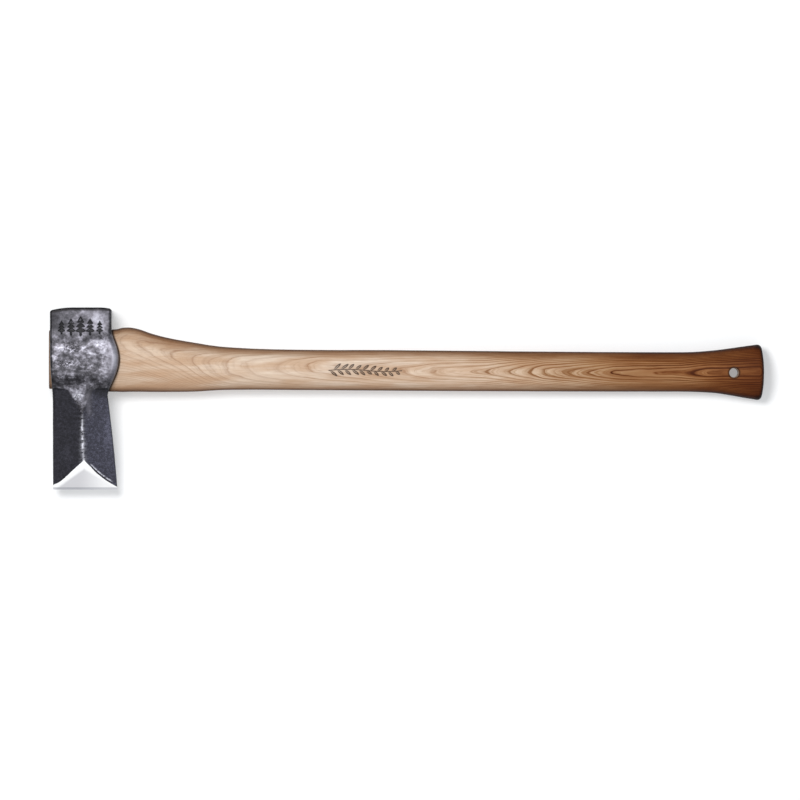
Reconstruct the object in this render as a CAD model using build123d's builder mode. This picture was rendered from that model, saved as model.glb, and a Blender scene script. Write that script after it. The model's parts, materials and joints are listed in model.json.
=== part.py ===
"""Splitting maul: a forged steel head, wedged onto a long oval hickory handle.

The maul is drawn level, in its own tool frame, in millimetres:
    X runs along the handle, from the middle of the eye to the butt,
    Y runs along the head, up to the poll, with the cutting edge at the bottom,
    Z runs across the cheeks, and the maul is symmetrical about Z = 0.
The finished pieces are then laid down as the maul lies on a flat surface, on one cheek and on
the underside of the butt, with the origin at the bottom centre of its bounding box.
"""

from build123d import *
import os
from math import atan2, degrees

# --- Head: outline seen from the cheek --------------------------------------------------------
EDGE_Y = -138.8  # cutting edge, below the middle of the eye
POLL_Y = 56.3  # striking face
POLL_FLAT = (-12.0, 16.0)  # ends of the flat part of the striking face
POLL_FRONT_Y, POLL_BACK_Y = 53.0, 54.8  # where the eased face meets the two sides
FRONT_X = -37.0  # side of the head away from the handle
BLADE_FRONT_X = -33.9  # the same side, along the blade
POLL_BACK_X = 29.0  # handle side of the poll
WAIST_Y = 33.5  # narrowest level, between poll and lugs
LUG_X = 37.0  # furthest reach of the lugs along the handle
THROAT = (24.4, -37.5)  # notch where the lugs meet the blade
EDGE_BACK_X = 35.2  # handle side of the cutting edge

# --- Head: outline seen along the handle, as half thicknesses ----------------------------------
EDGE_HALF = 0.25
MICRO_BEVEL, MICRO_HALF = 2.5, 1.65  # honed strip along the edge: height, and half thickness above it
BEVEL_TOP, BEVEL_HALF = 32.9, 12.0  # top of the ground bevel, at the ridge
RIDGE_TOP_Y, RIDGE_HALF = -57.0, 21.8  # where the ridge widens into the land
SHOULDER_Y, LAND_HALF = -29.0, 25.4  # where the hollow facets end, below the eye
CHEEK_FLAT = (-14.0, 12.0)
CHEEK_HALF = 28.0
WAIST_HALF, POLL_HALF = 24.3, 24.7
FRONT_ROUND, LUG_ROUND, POLL_ROUND = 3.0, 4.0, 2.5

# --- Hollow facets on the two sides of the ridge: fall away from the ridge, and hollow radius --
RIDGE_X, RIDGE_LEAN, RIDGE_RISE = 0.4, -0.047, 0.20
FRONT_FACET = (0.135, 1400.0)
BACK_FACET = (0.178, 286.0)
FACET_REACH = 60.0
FACET_RUNOUT = 4.0

# --- Eye, tenon and wedges ----------------------------------------------------------------------
EYE_Y = 0.5
EYE_MOUTH = (30.8, 15.3)  # half height and half width where the handle goes in
EYE_OUTLET = (31.6, 17.2)  # the same at the far side, where the wedges spread the tenon
TENON_END_X, TENON_CHAMFER = FRONT_X - 1.1, 0.7
WEDGE_TIP_X, WEDGE_TIP_HALF, WEDGE_HEAD_HALF = 8.0, 0.9, 3.4
RING_RADIUS, RING_WALL, RING_EDGE, RING_DEPTH = 9.5, 1.9, 0.5, 16.0

# --- Handle ---------------------------------------------------------------------------------------
# Along the handle: X, height of the oval's centre, its half height and half thickness.
HANDLE_STATIONS = [
    (0.0, -0.8, 32.5, 15.6),
    (20.0, -0.8, 32.7, 15.8),
    (36.0, -0.6, 33.3, 16.1),
    (47.0, 0.4, 34.6, 18.2),
    (53.0, 0.4, 34.7, 18.2),
    (60.0, -0.8, 33.4, 18.0),
    (72.0, -3.0, 31.2, 17.7),
    (92.0, -5.5, 28.7, 17.1),
    (118.0, -7.6, 26.3, 16.3),
    (150.0, -9.0, 23.2, 15.6),
    (210.0, -10.3, 21.8, 14.9),
    (340.0, -11.2, 21.9, 14.5),
    (500.0, -12.3, 21.5, 14.5),
    (620.0, -12.8, 21.3, 14.6),
    (652.0, -12.7, 21.5, 14.7),
    (676.0, -12.4, 23.0, 15.1),
    (702.0, -12.8, 26.9, 15.9),
    (735.0, -13.2, 31.2, 17.0),
    (760.0, -13.6, 34.0, 17.8),
]
HANDLE_START_X, HANDLE_STEP, HANDLE_SPANS = 18.0, 14.3, 50  # the ovals that shape the handle
OVAL_END = 0.70  # radius of an oval's two ends, as a share of its half thickness
BUTT_X, BUTT_CROWN, BUTT_ROUND = 728.0, 150.0, 5.0
HANG_HOLE = (695.5, -13.6)
HANG_HOLE_RADIUS, HANG_HOLE_EASE = 5.0, 2.0

FAR = 80.0  # reach of the construction blocks, beyond the head


def oval(centre, half_height, half_width):
    """Closed line of four tangent arcs: two flat ones for the sides, two tight ones for the ends."""
    end = OVAL_END * half_width
    rise = half_height - end
    flat = (half_width**2 + rise**2 - end**2) / (2 * (half_width - end))
    turn = degrees(atan2(rise, flat - half_width))
    CenterArc((centre + rise, 0), end, turn - 90, 180 - 2 * turn)
    CenterArc((centre, half_width - flat), flat, 90 - turn, 2 * turn)
    CenterArc((centre - rise, 0), end, 90 + turn, 180 - 2 * turn)
    CenterArc((centre, flat - half_width), flat, 270 - turn, 2 * turn)


def long_cheek_edges(part, x_range, y_range):
    """Edges between the cheeks and the sides of the head that run along it, within limits."""
    return [
        edge
        for edge in part.edges()
        if abs(edge.center().Z) > 15
        and edge.bounding_box().size.Y > 1
        and x_range[0] < edge.center().X < x_range[1]
        and y_range[0] < edge.center().Y < y_range[1]
    ]


def handle_section(x):
    """Centre, half height and half thickness of the handle at x, on smooth cubics between stations."""
    stations = HANDLE_STATIONS
    after = min(k for k in range(2, len(stations) - 1) if x <= stations[k][0] or k == len(stations) - 2)
    before, start, end, beyond = stations[after - 2 : after + 2]
    span = end[0] - start[0]
    t = (x - start[0]) / span
    values = []
    for q in (1, 2, 3):
        slope_in = span * (end[q] - before[q]) / (end[0] - before[0])
        slope_out = span * (beyond[q] - start[q]) / (beyond[0] - start[0])
        values.append(
            start[q] * (1 + 2 * t) * (1 - t) ** 2
            + end[q] * (3 - 2 * t) * t**2
            + slope_in * t * (1 - t) ** 2
            - slope_out * (1 - t) * t**2
        )
    return values


# === Tenon: fills the eye from the handle's shoulder to the far side, and just shows there ======
with BuildPart() as tenon:
    for x, (half_height, half_width) in ((TENON_END_X, EYE_OUTLET), (LUG_X + 1, EYE_MOUTH)):
        with BuildSketch(Plane.YZ.offset(x)):
            with BuildLine():
                oval(EYE_Y, half_height, half_width)
            make_face()
    loft(ruled=True)
    chamfer(tenon.faces().sort_by(Axis.X)[0].edges(), TENON_CHAMFER)

# === Cutters for the hollow facets, one for each side of the ridge, on both cheeks ==============
BELOW = EDGE_Y - 6.0
DROP_TO_BELOW = EDGE_Y + BEVEL_TOP - BELOW
RIDGE_BELOW = (RIDGE_X - RIDGE_LEAN * DROP_TO_BELOW, BEVEL_HALF - RIDGE_RISE * DROP_TO_BELOW)
ALONG_RIDGE = Vector(RIDGE_LEAN, 1, RIDGE_RISE)


def facet_cutter(side, fall, hollow):
    """Block that leaves a hollow facet, falling away from the ridge to one side."""
    across = [share * FACET_REACH for share in (0, 0.5, 1)]
    drops = [fall * distance - distance**2 / (2 * hollow) for distance in across]
    arc = [(RIDGE_BELOW[0] + side * a, RIDGE_BELOW[1] - d) for a, d in zip(across, drops)]
    with BuildPart() as cutter:
        with BuildSketch(Plane.XZ.offset(-BELOW)):
            with BuildLine():
                ThreePointArc(*arc)
                Polyline(arc[-1], (arc[-1][0], FAR), (arc[0][0], FAR), arc[0])
            make_face()
        extrude(amount=(SHOULDER_Y - BELOW) * ALONG_RIDGE.length, dir=ALONG_RIDGE)
        fillet(cutter.faces().sort_by(Axis.Y)[-1].edges().sort_by(Axis.Z)[0], FACET_RUNOUT)
        mirror(about=Plane.XY)
    return cutter.part


# === Head forging: side outline crossed with its thickness, rounded, then the facets cut =========
with BuildPart() as forging:
    with BuildSketch(Plane.XY.offset(-FAR)):
        with BuildLine():
            Line((POLL_FLAT[0], POLL_Y), (POLL_FLAT[1], POLL_Y))
            TangentArc((POLL_FLAT[0], POLL_Y), (FRONT_X, POLL_FRONT_Y), tangent=(-1, 0))
            Line((FRONT_X, POLL_FRONT_Y), (FRONT_X, 8))
            Spline((FRONT_X, 8), (BLADE_FRONT_X, -50), tangents=((0, -1), (0, -1)))
            Polyline((BLADE_FRONT_X, -50), (BLADE_FRONT_X, EDGE_Y), (EDGE_BACK_X, EDGE_Y))
            ThreePointArc((EDGE_BACK_X, EDGE_Y), (30.4, -86), THROAT)
            Spline(THROAT, (32.5, -18.2), (LUG_X, 2), (32.6, 20.3), (POLL_BACK_X, WAIST_Y),
                   tangents=((0.25, 1), (-0.05, 1)))
            Line((POLL_BACK_X, WAIST_Y), (POLL_BACK_X, POLL_BACK_Y))
            TangentArc((POLL_FLAT[1], POLL_Y), (POLL_BACK_X, POLL_BACK_Y), tangent=(1, 0))
        make_face()
    extrude(amount=2 * FAR)

    with BuildSketch(Plane.YZ.offset(-FAR)):
        with BuildLine():
            Polyline(
                (EDGE_Y, 0),
                (EDGE_Y, EDGE_HALF),
                (EDGE_Y + MICRO_BEVEL, MICRO_HALF),
                (EDGE_Y + BEVEL_TOP, BEVEL_HALF),
                (RIDGE_TOP_Y, RIDGE_HALF),
                (SHOULDER_Y, LAND_HALF),
            )
            Spline((SHOULDER_Y, LAND_HALF), (CHEEK_FLAT[0], CHEEK_HALF), tangents=((1, 0.13), (1, 0)))
            Line((CHEEK_FLAT[0], CHEEK_HALF), (CHEEK_FLAT[1], CHEEK_HALF))
            Spline((CHEEK_FLAT[1], CHEEK_HALF), (WAIST_Y, WAIST_HALF), tangents=((1, 0), (1, 0.02)))
            Polyline((WAIST_Y, WAIST_HALF), (POLL_Y, POLL_HALF), (POLL_Y, 0), (EDGE_Y, 0))
        make_face()
        mirror(about=Plane.XZ)
    extrude(amount=2 * FAR, mode=Mode.INTERSECT)

    fillet(long_cheek_edges(forging, (-40, -30), (RIDGE_TOP_Y, POLL_Y)), FRONT_ROUND)
    fillet(long_cheek_edges(forging, (25, 40), (SHOULDER_Y, WAIST_Y)), LUG_ROUND)
    fillet([edge for edge in forging.edges() if edge.center().Y > POLL_FRONT_Y - 1], POLL_ROUND)
    add(facet_cutter(-1, *FRONT_FACET), mode=Mode.SUBTRACT)
    add(facet_cutter(1, *BACK_FACET), mode=Mode.SUBTRACT)

# === Head: the forging, pierced by the eye ======================================================
with BuildPart() as level_head:
    add(forging.part)
    add(tenon.part, mode=Mode.SUBTRACT)

# === Wedges: a wooden one along the kerf, with a steel ring driven in across it =================
with BuildPart() as level_ring:
    with BuildSketch():
        with BuildLine():
            Polyline(
                (TENON_END_X, EYE_Y + RING_RADIUS),
                (TENON_END_X + RING_DEPTH, EYE_Y + RING_RADIUS - RING_EDGE),
                (TENON_END_X + RING_DEPTH, EYE_Y + RING_RADIUS - 2 * RING_EDGE),
                (TENON_END_X, EYE_Y + RING_RADIUS - RING_WALL),
                close=True,
            )
        make_face()
    revolve(axis=Axis((0, EYE_Y, 0), (1, 0, 0)))

with BuildPart() as level_wedge:
    with BuildSketch(Plane.XZ.offset(-FAR)):
        with BuildLine():
            Polyline(
                (TENON_END_X, WEDGE_HEAD_HALF),
                (WEDGE_TIP_X, WEDGE_TIP_HALF),
                (WEDGE_TIP_X, -WEDGE_TIP_HALF),
                (TENON_END_X, -WEDGE_HEAD_HALF),
                close=True,
            )
        make_face()
    extrude(amount=2 * FAR)
    add(tenon.part, mode=Mode.INTERSECT)
    add(level_ring.part, mode=Mode.SUBTRACT)

# === Handle: ovals along its length, shouldered on the lugs, with the tenon through the eye =====
with BuildPart() as level_handle:
    for step in range(HANDLE_SPANS + 1):
        x = HANDLE_START_X + step * HANDLE_STEP
        with BuildSketch(Plane.YZ.offset(x)):
            with BuildLine():
                oval(*handle_section(x))
            make_face()
    loft()

    with BuildSketch(Plane.XY.offset(-FAR)):
        with BuildLine():
            crown = CenterArc((BUTT_X - BUTT_CROWN, HANG_HOLE[1]), BUTT_CROWN, -25, 50)
            Polyline(crown @ 1, (0, FAR), (0, -FAR), crown @ 0)
        make_face()
    extrude(amount=2 * FAR, mode=Mode.INTERSECT)
    fillet(level_handle.faces().sort_by(Axis.X)[-1].edges(), BUTT_ROUND)

    with Locations((*HANG_HOLE, 0)):
        Cylinder(HANG_HOLE_RADIUS, 2 * FAR, mode=Mode.SUBTRACT)
    bore = level_handle.faces().filter_by(GeomType.CYLINDER).sort_by_distance((*HANG_HOLE, 0))[0]
    fillet([edge for edge in bore.edges() if edge.bounding_box().size.X > 1], HANG_HOLE_EASE)

    add(forging.part, mode=Mode.SUBTRACT)
    add(tenon.part)
    add(level_wedge.part, mode=Mode.SUBTRACT)
    add(level_ring.part, mode=Mode.SUBTRACT)

# === Resting pose: tipped about Y until cheek and butt touch the same level ======================
tip = 0.0
for _ in range(5):
    head_low = level_head.part.moved(Rot(Y=tip)).bounding_box().min.Z
    handle_low = level_handle.part.moved(Rot(Y=tip)).bounding_box().min.Z
    tip += degrees(atan2(handle_low - head_low, HANG_HOLE[0]))

tipped = Compound([level.part.moved(Rot(Y=tip)) for level in (level_head, level_handle)])
box = tipped.bounding_box()
resting = Pos(-box.center().X, -box.center().Y, -box.min.Z) * Rot(Y=tip)

os.makedirs("parts", exist_ok=True)

with BuildPart() as head:
    with Locations(resting):
        add(level_head.part)
head.part.label = "head"
export_step(head.part, "parts/head.step")

with BuildPart() as handle:
    with Locations(resting):
        add(level_handle.part)
handle.part.label = "handle"
export_step(handle.part, "parts/handle.step")

with BuildPart() as wooden_wedge:
    with Locations(resting):
        add(level_wedge.part)
wooden_wedge.part.label = "wooden_wedge"
export_step(wooden_wedge.part, "parts/wooden_wedge.step")

with BuildPart() as ring_wedge:
    with Locations(resting):
        add(level_ring.part)
ring_wedge.part.label = "ring_wedge"
export_step(ring_wedge.part, "parts/ring_wedge.step")

print("tip", round(tip, 4), "box", box.size)
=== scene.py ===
"""Splitting maul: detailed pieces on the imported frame, with its floor, light and camera."""

import json
import math

import bmesh
import bpy
import numpy as np
from mathutils import Matrix, Vector
from mathutils.bvhtree import BVHTree


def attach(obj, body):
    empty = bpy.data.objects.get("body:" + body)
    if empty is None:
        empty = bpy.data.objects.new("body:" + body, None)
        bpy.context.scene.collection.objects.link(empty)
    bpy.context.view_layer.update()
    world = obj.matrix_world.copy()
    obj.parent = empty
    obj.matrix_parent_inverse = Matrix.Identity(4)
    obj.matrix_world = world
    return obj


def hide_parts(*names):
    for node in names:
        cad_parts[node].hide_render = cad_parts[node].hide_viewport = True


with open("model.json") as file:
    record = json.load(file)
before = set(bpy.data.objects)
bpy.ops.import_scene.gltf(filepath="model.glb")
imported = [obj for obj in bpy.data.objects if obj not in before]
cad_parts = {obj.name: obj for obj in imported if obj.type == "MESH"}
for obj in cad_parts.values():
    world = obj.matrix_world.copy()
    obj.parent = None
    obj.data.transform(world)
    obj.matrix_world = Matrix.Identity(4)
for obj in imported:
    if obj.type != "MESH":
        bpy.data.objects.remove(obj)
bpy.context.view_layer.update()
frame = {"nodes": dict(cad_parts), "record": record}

MM = 0.001

# --- The maul's own level frame, in which its shape is drawn in millimetres --------------------
# X runs along the handle from the middle of the eye, Y up to the poll, Z across the cheeks.
mounts = {mount["name"]: mount for mount in frame["record"]["mounts"]}
ACROSS = Vector(mounts["hang_hole"]["axis"])
ALONG = Vector((ACROSS.z, 0, -ACROSS.x))
POLL_Y = 56.3
POLL_MIDDLE = Vector((2.0, POLL_Y, 0.0))
LEVEL = Matrix((ALONG, (0, 1, 0), ACROSS)).transposed().to_4x4()
LEVEL.translation = Vector(mounts["poll_face"]["pos_m"]) - LEVEL.to_3x3() @ POLL_MIDDLE * MM

# --- Dimensions of the tool, in millimetres; a name with HALF is half a thickness -------------------
FRONT_X, POLL_BACK_X = -37.0, 29.0
POLL_FLAT, EASE_FRONT, EASE_BACK = (-12, 16), 3.3, 1.5
EDGE_Y, EDGE_HALF = -138.8, 0.25
MICRO_Y, MICRO_HALF = -136.3, 1.65
BEVEL_Y, BEVEL_HALF = -105.9, 12.0
BEVEL_FALL = (BEVEL_HALF - MICRO_HALF) / (BEVEL_Y - MICRO_Y)
SHOULDER_Y, SHOULDER_HALF = -29.0, 25.4
BLADE = ((EDGE_Y, 5.42), (BEVEL_Y, BEVEL_HALF), (-57.0, 21.8), (SHOULDER_Y, SHOULDER_HALF))
CHEEK_HALF, CHEEK_RUN, CHEEK_SLOPE = 28.0, 15, 0.13
WAIST_START, WAIST_Y, WAIST_DEPTH, POLL_SPREAD = 12.0, 33.5, 3.7, 0.4
POLL_HALF = CHEEK_HALF - WAIST_DEPTH + POLL_SPREAD
RIDGE_X, RIDGE_LEAN, RIDGE_RISE = -0.5, -0.032, 0.20
# The facets beside the ridge: (fall per millimetre, radius of the hollow). The front one flares.
FRONT_FACET, BACK_FACET = (0.135, 1400.0), (0.178, 286.0)
FLARE_START, FLARE = 22.0, 0.0031
RUNOUT = 4.0
RIM_ROUND = 2.4
EYE_Y, EYE_MOUTH, EYE_OUTLET, EYE_REACH = 0.5, (30.8, 15.3), (31.6, 17.2), 42
TENON_END_X, MOUTH_X = -38.1, 38.0
# Where the kerf for the wooden wedge begins and ends: (x, half width).
KERF_REACH, KERF = 40, ((TENON_END_X - 4, 3.68), (8.0, 0.9))
OVAL_END = 0.70
SQUARE_FROM_X = 47.0
BUTT_X, BUTT_CROWN, CROWN_FROM_X, BUTT_ROUND = 728.0, 150.0, 695, 5.0
RING_RADIUS, RING_WALL, RING_EDGE, RING_DEPTH, RING_GAP = 9.5, 1.9, 0.5, 16.0, 0.08
HOLE_X, HOLE_Y = (LEVEL.inverted() @ Vector(mounts["hang_hole"]["pos_m"]) / MM)[:2]
HOLE_R, HOLE_EASE, HOLE_HALF = mounts["hang_hole"]["dims"]["r_mm"], 2.0, 15.75
STAMP_DEPTH, SCALE_DEPTH, SPRIG_DEPTH = 0.45, 0.22, 0.35
SPRIG_X, LEAF_APART, LEAVES = 261.5, 3.9, 19
# The detailed skins lie this far inside the solid model, so that their relief stays in its box.
HEAD_INSET, HANDLE_INSET = 0.10, 0.09


# --- Outlines read from the solid model ------------------------------------------------------------
def solid(node):
    """The solid model of a node, in the level frame, ready for rays."""
    mesh = frame["nodes"][node].data
    points = [LEVEL.inverted() @ vertex.co / MM for vertex in mesh.vertices]
    return BVHTree.FromPolygons(points, [face.vertices[:] for face in mesh.polygons])


def meet(tree, start, toward):
    """Where a ray first meets a solid."""
    return tree.ray_cast(Vector(start), Vector(toward))[0]


HEAD_SOLID, HANDLE_SOLID = solid("head"), solid("handle")
LEVELS = np.arange(EDGE_Y + 0.1, POLL_Y - 6, 0.25)
# Above this level the rays pass beside the eye, at these heights in front (-1) and behind (1).
EYE_FROM_Y, BESIDE_EYE = -33, {-1: 18.5, 1: 17.0}


def side_wall(side):
    """The head's outline at every level, seen from its front (-1) or its back (1)."""
    heights = BESIDE_EYE[side] * (LEVELS > EYE_FROM_Y)
    return [meet(HEAD_SOLID, (side * 99, y, z), (-side, 0, 0)).x for y, z in zip(LEVELS, heights)]


WALLS = {side: side_wall(side) for side in (-1, 1)}
BARE_FROM_X = 39


def section(x):
    """x, centre, half height and half thickness of the handle, whose side is bare behind the head."""
    top = meet(HANDLE_SOLID, (x, 99, 0), (0, -1, 0)).y
    bottom = meet(HANDLE_SOLID, (x, -99, 0), (0, 1, 0)).y
    middle = (top + bottom) / 2
    side = meet(HANDLE_SOLID, (max(x, BARE_FROM_X), middle, 99), (0, 0, -1)).z
    return x, middle, (top - bottom) / 2, side


SECTION_X = (34, 40, 47, 53, 60, 72, 92, 118, 150, 210, 340, 500, 620, 652, 676, 688, 706, 718)
SECTIONS = np.array([section(x) for x in SECTION_X])
# One more section at each end: the first again inside the eye, and the last two carried on.
SECTIONS = np.vstack([[18, *SECTIONS[0][1:]], SECTIONS, 2 * SECTIONS[-1] - SECTIONS[-2]])


# --- Curves, noise and grids ------------------------------------------------------------------------
def smooth(x, stations):
    """Values at x on cubics through the stations, each eased by its neighbours' slope."""
    s = np.array(stations, float)
    at, values = s[:, 0], s[:, 1:]
    slopes = np.empty_like(values)
    slopes[1:-1] = (values[2:] - values[:-2]) / (at[2:] - at[:-2])[:, None]
    slopes[0] = (values[1] - values[0]) / (at[1] - at[0])
    slopes[-1] = (values[-1] - values[-2]) / (at[-1] - at[-2])
    x = np.asarray(x, float)
    i = np.clip(np.searchsorted(at, x, side="right") - 1, 0, len(at) - 2)
    span = at[i + 1] - at[i]
    t = ((x - at[i]) / span)[..., None]
    span = span[..., None]
    got = (
        values[i] * (1 + 2 * t) * (1 - t) ** 2
        + values[i + 1] * (3 - 2 * t) * t**2
        + span * slopes[i] * t * (1 - t) ** 2
        - span * slopes[i + 1] * (1 - t) * t**2
    )
    return got[..., 0] if values.shape[1] == 1 else np.moveaxis(got, -1, 0)


def step(x, low, high):
    """0 below low, 1 above high, and smooth between them."""
    t = np.clip((x - low) / (high - low), 0, 1)
    return t * t * (3 - 2 * t)


def rows_of(*stretches):
    """Places along a length, from stretches of (start, end, about how far apart)."""
    return np.concatenate([
        np.linspace(start, end, round((end - start) / apart), endpoint=False)
        for start, end, apart in stretches
    ])


def noise(points, size, seed):
    """Smooth noise from -1 to 1, with lumps of about the given size in each axis."""
    p = points / np.asarray(size, float) + 1000.0
    cell = np.floor(p).astype(np.int64)
    t = p - cell
    t = t * t * (3 - 2 * t)
    total = 0.0
    for corner in np.ndindex(2, 2, 2):
        c = cell + np.array(corner)
        h = (c[:, 0] * 73856093) ^ (c[:, 1] * 19349663) ^ (c[:, 2] * 83492791) ^ (seed * 2654435761)
        h = (h ^ (h >> 13)) * 1274126177 & 0xFFFFFFFF
        h = (h ^ (h >> 16)) * 668265263 & 0xFFFFFFFF
        weight = np.prod(np.where(corner, t, 1 - t), axis=1)
        total = total + weight * (h / 2147483648.0 - 1.0)
    return total


def skin(name, loops):
    """Closed mesh over loops of points in millimetres, with a fan to the middle at both ends."""
    loops = np.array(loops)
    rows, columns = loops.shape[:2]
    points = np.concatenate([loops.reshape(-1, 3), [loops[0].mean(axis=0)], [loops[-1].mean(axis=0)]])
    here = np.arange(columns)
    after = np.roll(here, -1)
    start = (np.arange(rows - 1) * columns)[:, None]
    quads = np.stack([start + here, start + after, start + columns + after, start + columns + here], -1)
    last = (rows - 1) * columns
    fans = [(rows * columns, b, a) for a, b in zip(here, after)]
    fans += [(rows * columns + 1, last + a, last + b) for a, b in zip(here, after)]
    mesh = bpy.data.meshes.new(name)
    mesh.from_pydata(points * MM, [], quads.reshape(-1, 4).tolist() + [tuple(map(int, f)) for f in fans])
    bm = bmesh.new()
    bm.from_mesh(mesh)
    bmesh.ops.recalc_face_normals(bm, faces=bm.faces)
    for face in bm.faces:
        face.smooth = True
    bm.to_mesh(mesh)
    bm.free()
    piece = bpy.data.objects.new(name, mesh)
    bpy.context.collection.objects.link(piece)
    return piece


def points_of(mesh):
    """The mesh's vertices in millimetres."""
    got = np.empty(len(mesh.vertices) * 3)
    mesh.vertices.foreach_get("co", got)
    return got.reshape(-1, 3) / MM


def displace(mesh, amount):
    """Moves each vertex along its normal by an amount in millimetres, worked out from its place."""
    points = points_of(mesh)
    normals = np.empty(points.size)
    mesh.vertices.foreach_get("normal", normals)
    points += normals.reshape(-1, 3) * amount(points)[:, None]
    mesh.vertices.foreach_set("co", (points * MM).ravel())
    mesh.update()


def carve(piece, cutter):
    """Cuts the cutter out of the piece, for good."""
    cut = piece.modifiers.new("cut", "BOOLEAN")
    cut.operation, cut.solver, cut.object = "DIFFERENCE", "EXACT", cutter
    depsgraph = bpy.context.evaluated_depsgraph_get()
    depsgraph.update()
    mesh = bpy.data.meshes.new_from_object(piece.evaluated_get(depsgraph))
    piece.modifiers.clear()
    piece.data = mesh
    bpy.data.objects.remove(cutter)


def keep_attribute(mesh, name, values):
    """Keeps one number per vertex for the materials to read."""
    mesh.attributes.new(name, "FLOAT", "POINT").data.foreach_set("value", np.asarray(values, np.float32))


def oval(centre, half_height, half_width, counts):
    """Points (y, z) round an oval of four tangent arcs: top end, +Z side, bottom end, -Z side."""
    end = OVAL_END * half_width
    rise = half_height - end
    flat = (half_width**2 + rise**2 - end**2) / (2 * (half_width - end))
    turn = math.atan2(rise, flat - half_width)
    arcs = [
        (centre + rise, 0, end, turn - math.pi / 2, math.pi - 2 * turn),
        (centre, half_width - flat, flat, math.pi / 2 - turn, 2 * turn),
        (centre - rise, 0, end, math.pi / 2 + turn, math.pi - 2 * turn),
        (centre, flat - half_width, flat, 3 * math.pi / 2 - turn, 2 * turn),
    ]
    y, z = [], []
    for (cy, cz, radius, begin, sweep), count in zip(arcs, counts):
        angle = begin + sweep * np.arange(count) / count
        y.append(cy + radius * np.cos(angle))
        z.append(cz + radius * np.sin(angle))
    return np.concatenate(y), np.concatenate(z)


# === Head ===========================================================================================
def front_x(y):
    """The head's front outline, on the side of the tenon's end."""
    return np.interp(y, LEVELS, WALLS[-1])


def back_x(y):
    """The head's back outline, on the side of the handle."""
    return np.interp(y, LEVELS, WALLS[1])


def ridge_x(y):
    """The ridge between the two hollow facets."""
    return RIDGE_X + RIDGE_LEAN * (y - BEVEL_Y)


def thickness(y):
    """Half thickness of the head before the facets are cut."""
    blade = np.interp(y, *zip(*BLADE))
    t = np.clip((y - SHOULDER_Y) / CHEEK_RUN, 0, 1)
    swell = SHOULDER_HALF * (1 + 2 * t) * (1 - t) ** 2 + CHEEK_HALF * (3 - 2 * t) * t**2
    swell = swell + CHEEK_RUN * CHEEK_SLOPE * t * (1 - t) ** 2
    waist = CHEEK_HALF - WAIST_DEPTH * step(y, WAIST_START, WAIST_Y) + POLL_SPREAD * step(y, WAIST_Y, POLL_Y)
    return np.where(y < SHOULDER_Y, blade, np.where(y < 0, swell, waist))


def facet(x, y):
    """Half thickness that the hollow facets leave, very large above them."""
    d = x - ridge_x(y)
    fall = np.where(d < 0, FRONT_FACET[0], BACK_FACET[0])
    hollow = np.where(d < 0, FRONT_FACET[1], BACK_FACET[1])
    flare = FLARE * np.clip(-d - FLARE_START, 0, None) ** 2
    d = np.abs(d)
    t = np.clip(y - (SHOULDER_Y - RUNOUT), 0, RUNOUT)
    runout = RUNOUT - np.sqrt(RUNOUT**2 - t**2) + 100 * (y > SHOULDER_Y)
    return BEVEL_HALF + RIDGE_RISE * (y - BEVEL_Y) - fall * d + d**2 / (2 * hollow) + flare + runout


def cheek(x, y):
    """Half thickness of the head as forged, before its bevels are ground."""
    return np.minimum(thickness(y), facet(x, y))


def ease(x):
    """How far the eased striking face lies below its flat middle."""
    flat_front, flat_back = POLL_FLAT
    ahead = np.clip(flat_front - x, 0, None) / (flat_front - FRONT_X)
    behind = np.clip(x - flat_back, 0, None) / (POLL_BACK_X - flat_back)
    return EASE_FRONT * ahead**2 + EASE_BACK * behind**2


def head_loop(y, columns):
    """One loop of the head's surface at level y: top, back wall, underside, front wall.

    The corners are sharp along the blade and round beside the eye.
    """
    left, right, middle = float(front_x(y)), float(back_x(y)), float(ridge_x(y))
    front_r = 0.5 + 2.5 * float(step(y, -75, -45))
    back_r = 0.5 + 5.5 * float(step(y, -42, -20)) - 3.0 * float(step(y, 22, 36))
    arc = np.linspace(0, math.pi / 2, columns["corner"] + 1)[1:-1]
    x = np.concatenate([
        np.linspace(left + front_r, middle, columns["half"])[:-1],
        np.linspace(middle, right - back_r, columns["half"]),
        right - back_r + back_r * np.sin(arc),
    ])
    z = cheek(x, y)
    z[-len(arc):] -= back_r * (1 - np.cos(arc))
    wall_top = float(cheek(np.array(right), y)) - back_r
    wall = np.linspace(wall_top, -wall_top, columns["wall"])
    front = left + front_r - front_r * np.sin(arc)
    front_z = cheek(front, y) - front_r * (1 - np.cos(arc))
    front_top = float(cheek(np.array(left), y)) - front_r
    front_wall = np.linspace(-front_top, front_top, columns["wall"])
    back, ahead = np.full(len(wall), right), np.full(len(front_wall), left)
    x = np.concatenate([x, back, x[::-1], front, ahead, front[::-1]])
    z = np.concatenate([z, wall, -z[::-1], -front_z, front_wall, front_z[::-1]])
    return np.stack([x, np.full(len(x), y), z], -1)


def eye_loop(x, counts, inset=0.0):
    """One loop of the tapered eye at x, or of the tenon that fills it."""
    t = (x - TENON_END_X) / (MOUTH_X - TENON_END_X)
    size = [a + (b - a) * t - inset for a, b in zip(EYE_OUTLET, EYE_MOUTH)]
    y, z = oval(EYE_Y, *size, counts)
    return np.stack([np.full(len(y), x), y, z], -1)


FULL_COLUMNS = {"half": 84, "corner": 8, "wall": 40}
HEAD_COLUMNS = FULL_COLUMNS
EYE_COUNTS = (20, 36, 20, 36)


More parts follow.
